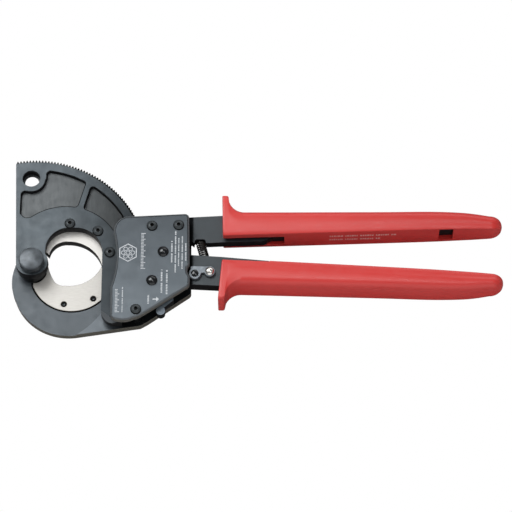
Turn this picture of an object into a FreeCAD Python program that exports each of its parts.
"""Ratchet cable cutter with a closed ring head, lying on its back.

Design frame, millimetres: the blade pivot is the Z axis, +X runs towards the handles, +Y towards
the upper handle, and z = 0 is the back face that the tool lies on. The finished parts are shifted
together, so that the origin of the written files is the bottom centre of the whole tool's box.
"""
import FreeCAD
import Part
import os
from math import cos, degrees, hypot, pi, radians, sin

Vector = FreeCAD.Vector
UP = Vector(0, 0, 1)

# ---------------------------------------------------------------- driving dimensions: levels in z
FRAME_TOP = 7.5            # front of the rear frame round the housing
HOOK_TOP = 6.0             # front of the hook, ground down to the shear plane
BLADE_GAP = 0.15           # air between the two blades
SECTOR_BACK = 13.3
SECTOR_TOP = 21.8
COVER_BACK = 22.0
COVER_TOP = 27.5
LOWER_BAR = (7.8, 17.9)
UPPER_BAR = (7.5, 15.6)
TONGUE_TOP = 12.9          # the lower bar is this thin where it passes behind the teeth
PAWL = (13.4, 20.6)
GRIP_THICK = 25.5
SLIP = 0.1                 # end play between faces that slide on each other
FIT = 0.05                 # radial clearance of a pin in its bore

# ---------------------------------------------------------------- driving dimensions: plan
TOOTH_TIP_R = 88.8
TOOTH_DEPTH = 1.6
TOOTH_PITCH = 2.48
TOOTHED_FROM = 100.3       # degrees about the blade pivot
TOOTHED_TO = -34.6
LUG_R = 12.3
THRUST_R = 10.2            # spacer between the hook and the sector
BLADE_SEAT_GAP = 0.45      # open joint round the fixed blade
PIVOT_R = 6.0
THREAD_R = 5.0
KNOB_R = 9.6
KNOB_CHAMFER = 0.5
KNOB_DOME = 1.5
KNOB_TOP = 30.3
BUSH_R = 7.5
NUT_R = 8.0
NUT_TOP = 3.2
SWEEP_R = 65.4             # everything on the back of the sector turns inside this radius
HANGING_HOLE = (-3.0, 72.8)
HANGING_R = 7.0
HANGING_LIP_R = 5.5        # the hole narrows to this at the back of the sector
HANGING_LIP = 1.4
HANDLE_PIVOT = (102.1, 6.5)
HOLDING_PIVOT = (93.7, -18.0)
DRIVE_PIVOT = (93.0, 13.0)
LATCH_PIVOT = (138.2, -7.0)
LATCH_LOBE = (126.7, -8.8)
PIN_R = 4.0
PIN_HEAD_R = 4.3
DRIVE_PIN_R = 2.5
HUB_R = 7.6
SLEEVE_R = 4.9
COVER_SCREWS = [(93.2, 28.6), (113.9, 29.2), (81.8, -42.4)]
SECTOR_SCREWS = [(28.6, 33.3), (50.7, 26.7), (60.4, 8.4)]
FIXED_BLADE_SCREWS = [(24.7, -28.6), (47.5, -23.9)]
SCREW_R = 2.0
SCREW_HEAD_R = 4.2
SCREW_HEAD_H = 2.5
HEX_ACROSS = 3.0
SMALL_SCREW_R = 1.4
SMALL_HEAD_R = 2.2
SPACER_R = 3.1
GRIP_ORIGIN_UPPER = (148.2, 32.6)
GRIP_TILT_UPPER = 1.2      # degrees
GRIP_ORIGIN_LOWER = (147.4, -8.5)
GRIP_TILT_LOWER = -2.6
GRIP_LENGTH = 219.0
SPRING_TOP = (130.7, 20.8)
SPRING_BOTTOM = (134.9, 5.4)
SPRING_WIRE_R = 0.55
SPRING_OUTER_R = 3.6
SPRING_PITCH = 1.55


# ---------------------------------------------------------------- helpers
def face_of(start, *steps):
    """Flat face at z = 0. A step is an end point, or a pair (middle, end) for an arc."""
    edges = []
    here = start
    for step in steps + (start,):
        arc = isinstance(step[0], tuple)
        end = step[1] if arc else step
        if hypot(end[0] - here[0], end[1] - here[1]) > 1e-6:
            points = [Vector(*point) for point in ((here, *step) if arc else (here, step))]
            curve = Part.Arc(*points) if arc else Part.LineSegment(*points)
            edges.append(curve.toShape())
        here = end
    return Part.Face(Part.Wire(edges))


def disc(centre, radius):
    circle = Part.Circle(Vector(centre[0], centre[1], 0), UP, radius)
    return Part.Face(Part.Wire([circle.toShape()]))


def soften(face, radius, hollow=True):
    """Rounds the outward corners of a flat face and, if hollow, its inward corners too."""
    face = face.makeOffset2D(-radius).makeOffset2D(radius)
    if hollow:
        face = face.makeOffset2D(radius).makeOffset2D(-radius)
    return face


def slab(face, low, high):
    return face.translated(Vector(0, 0, low)).extrude(Vector(0, 0, high - low))


def union(*faces):
    """One flat face that covers the given overlapping faces."""
    solid = slab(faces[0], 0, 1).fuse([slab(face, 0, 1) for face in faces[1:]]).removeSplitter()
    floor = [face for face in solid.Faces if face.BoundBox.ZMax < 1e-6]
    return Part.Face(floor[0].OuterWire)


def rod(centre, radius, low, high):
    return Part.makeCylinder(radius, high - low, Vector(centre[0], centre[1], low))


def polar(radius, angle):
    return (radius * cos(radians(angle)), radius * sin(radians(angle)))


def hexagon(centre, across, low, high):
    corners = [polar(across / cos(pi / 6) / 2, 60 * i) for i in range(6)]
    points = [(centre[0] + x, centre[1] + y) for x, y in corners]
    return slab(face_of(*points), low, high)


def chamfer_rim(solid, level, size):
    """Chamfers the edges that lie flat at one level."""
    rim = [
        edge for edge in solid.Edges
        if abs(edge.BoundBox.ZMin - level) < 1e-4 and abs(edge.BoundBox.ZMax - level) < 1e-4
    ]
    return solid.makeChamfer(size, rim)


def domed_head(centre, radius, height, seat):
    """Low dome that stands on the level seat, with a short upright rim."""
    rim = height * 0.25
    rise = height - rim
    ball_r = (radius * radius + rise * rise) / (2 * rise)
    ball = Part.makeSphere(ball_r, Vector(centre[0], centre[1], seat + height - ball_r))
    return rod(centre, radius, seat, seat + height).common(ball)


def button_screw(centre, seat, tip):
    """Socket button-head screw: its head stands on seat, and its shank ends at tip."""
    head = domed_head(centre, SCREW_HEAD_R, SCREW_HEAD_H, seat)
    shank = rod(centre, SCREW_R, tip, seat)
    socket = hexagon(centre, HEX_ACROSS, seat + 0.7, seat + SCREW_HEAD_H + 1)
    return head.fuse(shank).cut(socket).removeSplitter()


def coil(start, axis, mean_r, wire_r, pitch, turns):
    """Round wire wound on a helix from start along axis, with plain ends."""
    helix = Part.makeHelix(pitch, pitch * turns, mean_r)
    section = Part.Wire([Part.Circle(Vector(mean_r, 0, 0), Vector(0, 1, 0), wire_r).toShape()])
    solid = Part.Wire(helix.Edges).makePipeShell([section], True, True)
    turn = FreeCAD.Rotation(UP, Vector(*axis))
    solid.Placement = FreeCAD.Placement(Vector(*start), turn)
    return solid


def placed(shape, origin, tilt, mirrored):
    """Moves a handle shape from its own frame (s, t, z) to the tool's frame."""
    if mirrored:
        shape = shape.mirror(Vector(0, 0, 0), Vector(0, 1, 0))
    place = FreeCAD.Placement(Vector(*origin, 0), FreeCAD.Rotation(UP, tilt))
    shape = shape.copy()
    shape.Placement = place.multiply(shape.Placement)
    return shape


# ---------------------------------------------------------------- the hook, the fixed blade and the housing
def blade_window():
    """The space inside the fixed blade's cutting edge, open upwards."""
    return face_of(
        (10.6, 10.0), ((12.3, 0.5), (17.0, -9.6)), ((20.5, -12.0), (25.0, -12.7)),
        ((43.0, -8.5), (54.4, 7.5)), (54.4, 60.0), (10.6, 60.0),
    )


def rear_frame():
    outline = face_of(
        (36.0, -54.9), (84.6, -47.4), (90.2, -44.1), (121.6, -21.7), ((123.2, -20.0), (123.6, -17.6)),
        (123.2, 35.6), ((122.5, 37.6), (120.4, 38.5)), (78.0, 37.0),
        ((70.2, 33.4), (64.6, 23.0)), ((62.6, 12.0), (56.6, 6.8)),
        (54.0, 6.0), (10.4, 10.5), ((6.2, 13.4), (0.0, 14.8)),
        ((-10.4, 10.5), (-14.6, 2.4)), ((-16.4, -11.5), (-12.7, -25.9)),
        ((6.5, -49.3), (36.0, -54.9)),
    )
    plate = chamfer_rim(slab(soften(outline, 2.0), 0, FRAME_TOP), 0, 0.6)
    plate = plate.cut(slab(blade_window().makeOffset2D(2.5), -1, FRAME_TOP + 1))
    plate = plate.cut(rod((0, 0), SWEEP_R, HOOK_TOP, FRAME_TOP + 1))
    plate = plate.cut(slab(fixed_blade_outline().makeOffset2D(BLADE_SEAT_GAP), 2.0, FRAME_TOP + 1))
    plate = plate.cut(rod((0, 0), THREAD_R + FIT, -1, HOOK_TOP + 1))
    plate = plate.cut(rod((0, 0), NUT_R + FIT, -1, NUT_TOP))
    for pin in (HANDLE_PIVOT, HOLDING_PIVOT):
        plate = plate.cut(rod(pin, PIN_R, -1, FRAME_TOP + 1))
    for screw in COVER_SCREWS:
        plate = plate.cut(rod(screw, SCREW_R, 1.5, FRAME_TOP + 1))
    for screw in FIXED_BLADE_SCREWS:
        plate = plate.cut(rod(screw, SMALL_SCREW_R, 0.6, FRAME_TOP))
    return plate


def fixed_blade_outline():
    whole = disc((30.6, -2.3), 32.4).cut(blade_window())
    above = face_of((40.0, 6.0), (80.0, 3.0), (80.0, 60.0), (40.0, 60.0))
    left = face_of(
        (-20.0, -60.0), (-20.0, 60.0), (20.0, 60.0), (20.0, 12.0), (0.0, -4.0), (0.0, -60.0),
    )
    lower = whole.cut(above).cut(disc((0, 0), THRUST_R + 0.3)).cut(left)
    pieces = sorted(lower.Faces, key=lambda f: f.Area)
    return pieces[-1]


def fixed_blade():
    blade = slab(fixed_blade_outline(), 2.0, HOOK_TOP)
    for screw in FIXED_BLADE_SCREWS:
        blade = blade.cut(rod(screw, SMALL_HEAD_R + FIT, 4.4, HOOK_TOP + 1))
        blade = blade.cut(rod(screw, SMALL_SCREW_R, 1, 5))
    return blade


def fixed_blade_screws():
    screws = []
    for screw in FIXED_BLADE_SCREWS:
        head = rod(screw, SMALL_HEAD_R, 4.4, HOOK_TOP - 0.05)
        body = head.fuse(rod(screw, SMALL_SCREW_R, 0.6, 4.4))
        screws.append(body.cut(hexagon(screw, 2.0, 4.7, HOOK_TOP + 1)).removeSplitter())
    return Part.makeCompound(screws)


def cover_plate():
    left_top = polar(67.6, 21.0)
    left_low = polar(66.2, -20.8)
    outline = face_of(
        (68.6, -50.6), ((73.0, -51.0), (80.0, -48.9)), ((83.0, -48.0), (86.5, -46.2)),
        (94.0, -41.4), (120.0, -23.6), ((122.2, -21.6), (122.9, -18.6)), (122.9, -14.2),
        ((120.9, -9.0), (122.7, -3.8)),
        (122.0, 35.4), ((121.0, 38.4), (118.0, 39.4)), (76.0, 37.2), ((67.4, 34.2), (63.6, 26.6)),
        left_top, (polar(66.0, 0), left_low), (62.3, -44.6), ((63.2, -48.4), (66.0, -50.2)),
    )
    plate = chamfer_rim(slab(soften(outline, 2.0), COVER_BACK, COVER_TOP), COVER_TOP, 1.1)
    for pin in (HANDLE_PIVOT, HOLDING_PIVOT):
        plate = plate.cut(rod(pin, PIN_R, COVER_BACK - 1, COVER_TOP + 1))
    for screw in COVER_SCREWS:
        plate = plate.cut(rod(screw, SCREW_R + FIT, COVER_BACK - 1, COVER_TOP + 1))
    return plate


def cover_screws():
    return Part.makeCompound([button_screw(c, COVER_TOP, 1.5) for c in COVER_SCREWS])


def cover_spacers():
    """Sleeves on the cover screws: two stand on the upper bar, the last on the rear frame."""
    spacers = []
    for centre in COVER_SCREWS:
        foot = UPPER_BAR[1] if centre[1] > 0 else FRAME_TOP
        radius = SPACER_R + 1.9 if centre[1] > 0 else SPACER_R
        spacer = rod(centre, radius, foot, COVER_BACK)
        spacers.append(spacer.cut(rod(centre, SCREW_R + FIT, 0, 30)))
    return Part.makeCompound(spacers)


def pin_sleeves():
    """Sleeves on the two pins, which keep the handle and the holding pawl at their level."""
    over_handle = rod(HANDLE_PIVOT, SLEEVE_R, TONGUE_TOP + SLIP, COVER_BACK)
    over_pawl = rod(HOLDING_PIVOT, SLEEVE_R, PAWL[1] + SLIP, COVER_BACK)
    return Part.makeCompound([
        over_handle.cut(rod(HANDLE_PIVOT, PIN_R + FIT, 0, 30)),
        over_pawl.cut(rod(HOLDING_PIVOT, PIN_R + FIT, 0, 30)),
    ])


def headed_pin(centre):
    """Domed pin that joins the rear frame and the cover."""
    return rod(centre, PIN_R, 0.5, COVER_TOP).fuse(
        domed_head(centre, PIN_HEAD_R, 2.6, COVER_TOP)).removeSplitter()


def pivot_bolt():
    """The big round knob is the head of the bolt that the toothed sector turns on."""
    seat = SECTOR_TOP + SLIP
    ball_r = (KNOB_R**2 + KNOB_DOME**2) / (2 * KNOB_DOME)
    ball = Part.makeSphere(ball_r, Vector(0, 0, KNOB_TOP - ball_r))
    knob = rod((0, 0), KNOB_R, seat, KNOB_TOP).common(ball)
    rim = [e for e in knob.Edges if e.BoundBox.ZMin > seat + 1 and e.BoundBox.ZLength < 0.01]
    knob = knob.makeChamfer(KNOB_CHAMFER, rim)
    shank = rod((0, 0), PIVOT_R, HOOK_TOP, seat)
    thread = rod((0, 0), THREAD_R, 0.4, HOOK_TOP)
    return knob.fuse([shank, thread]).removeSplitter()


def pivot_nut():
    """Slotted round nut, let into the back of the hook."""
    nut = rod((0, 0), NUT_R, 0.3, NUT_TOP).cut(rod((0, 0), THREAD_R + 0.02, 0, 4))
    for side in (-1, 1):
        slot = Part.makeBox(3.0, 1.8, 1.2, Vector(side * 6.5 - 1.5, -0.9, 0))
        nut = nut.cut(slot)
    return nut


def pivot_spacer():
    """Thrust washer that holds the sector clear of the hook."""
    washer = rod((0, 0), THRUST_R, HOOK_TOP, SECTOR_BACK - SLIP)
    return washer.cut(rod((0, 0), PIVOT_R + FIT, 5, 20))


# ---------------------------------------------------------------- parts that turn about the blade pivot
def tooth_rim():
    """Points of the toothed rim, from its upper end down to the tail."""
    root_r = TOOTH_TIP_R - TOOTH_DEPTH
    step = degrees(TOOTH_PITCH / TOOTH_TIP_R)
    count = int((TOOTHED_FROM - TOOTHED_TO) / step)
    points = []
    for i in range(count):
        angle = TOOTHED_FROM - i * step
        points.append(polar(root_r, angle))
        points.append(polar(root_r, angle - 0.26 * step))
        points.append(polar(TOOTH_TIP_R, angle - 0.52 * step))
        points.append(polar(TOOTH_TIP_R, angle - 0.74 * step))
    points.append(polar(root_r, TOOTHED_FROM - count * step))
    return points


def sector_outline():
    """Lug, straight left side, toothed rim, tail, and the rounded opening for the cable."""
    rim = tooth_rim()
    return face_of(
        (-LUG_R, -1.5), *rim, (71.6, -50.4), (63.4, -50.6), ((57.6, -47.4), (54.6, -41.6)),
        (54.6, 8.6), ((46.6, 25.0), (30.5, 29.9)), ((15.5, 24.6), (10.1, 11.4)),
        polar(LUG_R, 36.0), ((12.1, 3.6), (12.2, 0.6)), ((8.9, -7.5), (0.5, -10.6)),
        ((-8.6, -8.1), (-LUG_R, -1.5)),
    )


def pocket_faces():
    """The two sunk panels between the rim and the opening, parted by a narrow rib."""
    between = disc((0, 0), 80.7).cut(disc((25.1, 3.8), 44.6))
    left = face_of(
        (-10.6, 42.0), (-7.0, 38.5), (35.0, 42.0), (34.0, 47.6), (41.4, 74.0), (38.0, 90.0),
        (-10.6, 90.0),
    )
    round_hole = face_of(
        (-20.0, 62.0), (-3.0, 62.0), (-3.0, 72.8), (9.0, 72.8), (9.0, 100.0), (-20.0, 100.0),
    )
    left = left.cut(disc(HANGING_HOLE, 11.3)).cut(round_hole)
    right = face_of(
        (44.2, 80.0), (44.2, 66.5), (38.6, 45.8), (45.0, 30.0), (72.0, 14.0), (95.0, 20.0), (90.0, 80.0),
    )
    faces = []
    for panel, corner_r in ((left, 3.0), (right, 2.4)):
        parts = sorted(between.common(panel).Faces, key=lambda f: f.Area)
        faces.append(soften(parts[-1], corner_r))
    return faces


def toothed_sector():
    plate = slab(sector_outline(), SECTOR_BACK, SECTOR_TOP)
    for face in pocket_faces():
        plate = plate.cut(slab(face, SECTOR_TOP - 3.4, SECTOR_TOP + 1))
    plate = plate.cut(rod(HANGING_HOLE, HANGING_LIP_R, 0, 30))
    plate = plate.cut(rod(HANGING_HOLE, HANGING_R, SECTOR_BACK + HANGING_LIP, 30))
    plate = plate.cut(rod((0, 0), BUSH_R, 0, 30))
    for screw in SECTOR_SCREWS:
        plate = plate.cut(rod(screw, SCREW_R + FIT, 0, 30))
    tail = Part.makeBox(40, 20, 10, Vector(-20, -20, 0))
    tail.rotate(Vector(0, 0, 0), Vector(1, 0, 0), 42)
    tail.rotate(Vector(0, 0, 0), UP, -36)
    tail.translate(Vector(58.4, -43.6, SECTOR_TOP))
    return plate.cut(tail)


def moving_blade():
    """Crescent blade on the back of the sector; its lower curve is the cutting edge."""
    whole = disc((31.5, 7.0), 32.4)
    edge = face_of(
        (12.6, 10.2), ((16.4, 17.9), (27.2, 21.8)), ((42.0, 17.6), (54.9, -4.6)),
        (54.9, -60.0), (-20.0, -60.0), (-20.0, 24.0), (4.0, 22.0), (9.5, 13.2),
    )
    right_end = face_of((50.0, -4.6), (80.0, -4.6), (80.0, -60.0), (50.0, -60.0))
    crescent = whole.cut(edge).cut(right_end)
    crescent = sorted(crescent.Faces, key=lambda f: f.Area)[-1]
    blade = slab(crescent, HOOK_TOP + BLADE_GAP, SECTOR_BACK)
    for screw in SECTOR_SCREWS:
        blade = blade.cut(rod(screw, SCREW_R, 8.0, 30))
    return blade


def moving_blade_screws():
    return Part.makeCompound([button_screw(c, SECTOR_TOP, 8.0) for c in SECTOR_SCREWS])


def pivot_bush():
    return rod((0, 0), BUSH_R, SECTOR_BACK, SECTOR_TOP).cut(rod((0, 0), PIVOT_R + FIT, 0, 30))


# ---------------------------------------------------------------- handles
def spring_direction():
    return Vector(SPRING_BOTTOM[0] - SPRING_TOP[0], SPRING_BOTTOM[1] - SPRING_TOP[1], 0).normalize()


def mid(levels):
    return (levels[0] + levels[1]) / 2


def upper_handle_bar():
    front = face_of(
        (87.8, 22.6), (104.6, 22.6), (106.6, 20.6), (124.4, 20.6), (125.4, 19.4), (126.0, 19.4),
        (126.2, 21.4), (127.5, 22.7), (133.6, 22.7), (134.9, 21.4), (135.2, 19.5), (148.4, 20.1),
        (178.8, 21.2), ((181.2, 21.8), (183.0, 23.0)), ((184.8, 24.2), (187.3, 24.7)),
        (330.4, 30.6), (330.4, 39.4), (196.0, 41.6), (184.0, 42.2), (149.6, 42.2), (147.9, 43.1),
        (120.5, 41.6), (120.5, 37.4), (87.8, 36.4),
    )
    bar = slab(front, *UPPER_BAR)
    for screw in COVER_SCREWS[:2]:
        bar = bar.cut(rod(screw, SCREW_R + FIT, 0, 30))
    start = Vector(SPRING_TOP[0], SPRING_TOP[1], mid(UPPER_BAR)) - spring_direction() * 4.0
    return bar.cut(Part.makeCylinder(1.8, 6.0, start, spring_direction()))


def spring_peg():
    """Guide peg in the upper bar that the return spring sits on."""
    start = Vector(SPRING_TOP[0], SPRING_TOP[1], mid(UPPER_BAR)) - spring_direction() * 4.0
    return Part.makeCylinder(1.8, 10.0, start, spring_direction())


def return_spring():
    turns = (Vector(*SPRING_BOTTOM) - Vector(*SPRING_TOP)).Length / SPRING_PITCH
    start = (SPRING_TOP[0], SPRING_TOP[1], mid(UPPER_BAR))
    return coil(start, tuple(spring_direction()), SPRING_OUTER_R - SPRING_WIRE_R, SPRING_WIRE_R,
                SPRING_PITCH, turns)


def lower_handle_bar():
    front = face_of(
        (112.5, -12.5), (116.0, -16.2), (123.0, -17.0), (147.0, -18.3), (184.0, -18.9), (196.0, -17.4),
        (329.0, -20.6), (329.0, -12.2), (196.0, -3.6), (184.0, 3.0), (147.6, 6.4), (124.0, 8.0),
        ((112.0, 10.6), (106.0, 13.0)), (98.4, -0.2), ((106.0, -4.2), (112.5, -12.5)),
    )
    thinned = Part.makeBox(40, 60, 10, Vector(HANDLE_PIVOT[0] + 7.0 - 40, -30, TONGUE_TOP))
    bar = slab(front, *LOWER_BAR).cut(thinned)
    tongue = face_of(
        (HANDLE_PIVOT[0] + 2.0, HANDLE_PIVOT[1] + HUB_R - 0.3), (DRIVE_PIVOT[0], DRIVE_PIVOT[1] + 5.0),
        (DRIVE_PIVOT[0] - 0.8, DRIVE_PIVOT[1] - 4.8), (HANDLE_PIVOT[0], HANDLE_PIVOT[1] - HUB_R),
    )
    bar = bar.fuse([
        slab(tongue, LOWER_BAR[0], TONGUE_TOP),
        rod(HANDLE_PIVOT, HUB_R, LOWER_BAR[0], TONGUE_TOP),
        rod(DRIVE_PIVOT, 5.0, LOWER_BAR[0], TONGUE_TOP),
    ])
    bar = bar.cut(rod(HANDLE_PIVOT, PIN_R + 1.5, 0, 30))
    bar = bar.cut(rod(DRIVE_PIVOT, DRIVE_PIN_R, 0, 30))
    bar = bar.cut(rod(LATCH_PIVOT, 1.8, 0, 30))
    seat_top = Vector(SPRING_BOTTOM[0], SPRING_BOTTOM[1], mid(UPPER_BAR)) - spring_direction() * 12.0
    seat = Part.makeCylinder(SPRING_OUTER_R + 0.5, 13.2, seat_top, spring_direction())
    return bar.cut(seat).removeSplitter()


def handle_bush():
    bush = rod(HANDLE_PIVOT, PIN_R + 1.5, LOWER_BAR[0], TONGUE_TOP)
    return bush.cut(rod(HANDLE_PIVOT, PIN_R + FIT, 0, 30))


def grip_outline():
    """Grip in its own frame: s runs from its front end, t from its axis to the guard side."""
    body = face_of(
        (0.0, -10.8), (GRIP_LENGTH, -8.2), (GRIP_LENGTH, -2.0), (213.0, 3.0), (198.0, 6.4),
        (172.0, 8.5), (0.0, 10.9),
    )
    guard = face_of(
        (0.0, 0.0), (17.0, 0.0), (17.0, 10.7), ((8.7, 13.9), (5.3, 19.5)), (5.0, 24.5), (0.0, 24.5),
    )
    front = face_of((0.0, -10.8), (30.0, -10.4), (30.0, 10.5), (0.0, 10.9))
    return union(soften(body, 5.0, False), front, guard)


def grip(origin, tilt, mirrored, bar):
    body = slab(grip_outline(), 0, GRIP_THICK)
    body = placed(body, origin, tilt, mirrored)
    lengthwise = [e for e in body.Edges if e.Length > 20 and e.BoundBox.ZLength < 0.01]
    body = body.makeFillet(2.4, lengthwise)
    slot = slab(face_of((-1.0, -14.0), (48.0, -14.0), (48.0, -6.0), (-1.0, -6.0)), 6.4, 19.0)
    body = body.cut(placed(slot, origin, tilt, mirrored))
    return body.cut(bar).removeSplitter()


def upper_grip():
    body = grip(GRIP_ORIGIN_UPPER, GRIP_TILT_UPPER, False, upper_handle_bar())
    window = slab(face_of((169.2, -14.0), (180.3, -14.0), (180.3, -4.0), (169.2, -4.0)), 7.6, 20.8)
    return body.cut(placed(window, GRIP_ORIGIN_UPPER, GRIP_TILT_UPPER, False))


def lower_grip():
    return grip(GRIP_ORIGIN_LOWER, GRIP_TILT_LOWER, True, lower_handle_bar())


# ---------------------------------------------------------------- pawls and latch
def drive_pawl():
    """Pushes the teeth down when the handles close."""
    x, y = DRIVE_PIVOT
    tip = polar(TOOTH_TIP_R + 0.25, -2.4)
    finger = face_of(
        (x - 3.6, y - 2.4), (tip[0] + 1.5, tip[1] + 3.4), tip, (tip[0] + 2.2, tip[1] - 0.8),
        (x - 1.0, tip[1] + 2.4), (x + 1.9, y - 3.6),
    )
    pawl = slab(finger, *PAWL).fuse(rod(DRIVE_PIVOT, 4.4, *PAWL))
    return pawl.cut(rod(DRIVE_PIVOT, DRIVE_PIN_R + FIT, 0, 30)).removeSplitter()


def drive_pawl_pin():
    return rod(DRIVE_PIVOT, DRIVE_PIN_R, LOWER_BAR[0] + 0.1, COVER_BACK - 0.3)


def drive_pawl_spring():
    """Torsion spring round the drive pawl's pin, between the pawl and the cover."""
    return coil((*DRIVE_PIVOT, PAWL[1] + 0.35), (0, 0, 1), 3.4, 0.3, 0.65, 1.0)


def holding_pawl():
    """Keeps the cut from opening again; its crooked tail is the release tab."""
    x, y = HOLDING_PIVOT
    tip = polar(TOOTH_TIP_R + 0.25, -20.0)
    finger = face_of(
        (x - 5.4, y - 2.4), (tip[0] + 1.6, tip[1] + 3.6), tip, (tip[0] + 3.0, tip[1] - 1.0),
        (tip[0] + 6.2, tip[1] + 1.8), (x + 1.6, y - 5.6),
    )
    arm = face_of(
        (x + 1.0, y - 4.6), (x + 4.6, y - 1.6), (109.9, -29.6), ((110.4, -31.4), (109.3, -32.8)),
        (103.2, -38.0), (97.8, -38.6), (105.0, -31.4), (x + 1.0, y - 5.6),
    )
    tab = disc((100.6, -40.6), 3.5)
    crook = slab(soften(union(arm, tab), 0.6), *PAWL)
    pawl = slab(finger, *PAWL).fuse([rod(HOLDING_PIVOT, 6.0, *PAWL), crook])
    return pawl.cut(rod(HOLDING_PIVOT, PIN_R + FIT, 0, 30)).removeSplitter()


def holding_pawl_spring():
    """Torsion spring round the holding pin, between the rear frame and the pawl."""
    return coil((*HOLDING_PIVOT, FRAME_TOP + 0.6), (0, 0, 1), 4.7, 0.6, 1.5, 2.5)


def latch_levels():
    low = LOWER_BAR[1] + SLIP
    return (low, low + 2.6)


def handle_latch():
    """Small dog-bone lever that locks the handles together for storage."""
    bridge = face_of((123.2, -2.6), (139.0, -2.8), (139.0, -7.6), (131.0, -8.4), (123.2, -9.6))
    plan = union(disc(LATCH_LOBE, 4.8), disc(LATCH_PIVOT, 4.3), bridge)
    lever = slab(soften(plan, 1.4), *latch_levels())
    lever = chamfer_rim(lever, latch_levels()[1], 0.35)
    lever = lever.cut(rod(LATCH_PIVOT, 1.8 + FIT, 0, 30))
    return lever.cut(rod(LATCH_LOBE, 1.6, 0, 30))


def latch_stud():
    low, high = latch_levels()
    head = domed_head(LATCH_LOBE, 3.0, 1.1, high)
    return head.fuse(rod(LATCH_LOBE, 1.6, low, high)).removeSplitter()


def latch_rivet():
    high = latch_levels()[1]
    head = domed_head(LATCH_PIVOT, 3.4, 2.0, high + 0.05)
    return head.fuse(rod(LATCH_PIVOT, 1.8, LOWER_BAR[0], high + 0.05)).removeSplitter()


# ---------------------------------------------------------------- the assembly
def build():
    return {
        "rear_frame": rear_frame(),
        "fixed_blade": fixed_blade(),
        "fixed_blade_screws": fixed_blade_screws(),
        "cover_plate": cover_plate(),
        "cover_screws": cover_screws(),
        "cover_spacers": cover_spacers(),
        "pin_sleeves": pin_sleeves(),
        "handle_pivot_pin": headed_pin(HANDLE_PIVOT),
        "holding_pawl_pin": headed_pin(HOLDING_PIVOT),
        "pivot_bolt": pivot_bolt(),
        "pivot_nut": pivot_nut(),
        "pivot_spacer": pivot_spacer(),
        "upper_handle_bar": upper_handle_bar(),
        "upper_grip": upper_grip(),
        "spring_peg": spring_peg(),
        "return_spring": return_spring(),
        "toothed_sector": toothed_sector(),
        "moving_blade": moving_blade(),
        "moving_blade_screws": moving_blade_screws(),
        "pivot_bush": pivot_bush(),
        "lower_handle_bar": lower_handle_bar(),
        "lower_grip": lower_grip(),
        "handle_bush": handle_bush(),
        "drive_pawl": drive_pawl(),
        "drive_pawl_pin": drive_pawl_pin(),
        "drive_pawl_spring": drive_pawl_spring(),
        "holding_pawl": holding_pawl(),
        "holding_pawl_spring": holding_pawl_spring(),
        "handle_latch": handle_latch(),
        "latch_stud": latch_stud(),
        "latch_rivet": latch_rivet(),
    }


def main():
    parts = build()
    whole = Part.makeCompound(list(parts.values())).optimalBoundingBox(False)
    origin = Vector((whole.XMin + whole.XMax) / 2, (whole.YMin + whole.YMax) / 2, whole.ZMin)
    os.makedirs("parts", exist_ok=True)
    for name, shape in parts.items():
        shape.translated(-origin).exportStep("parts/" + name + ".step")
        print(name, shape.isValid(), "solids", len(shape.Solids), "volume", round(shape.Volume, 1))
    print("origin in the design frame", [round(v, 4) for v in origin])
    print("size", round(whole.XLength, 2), round(whole.YLength, 2), round(whole.ZLength, 2))


main()
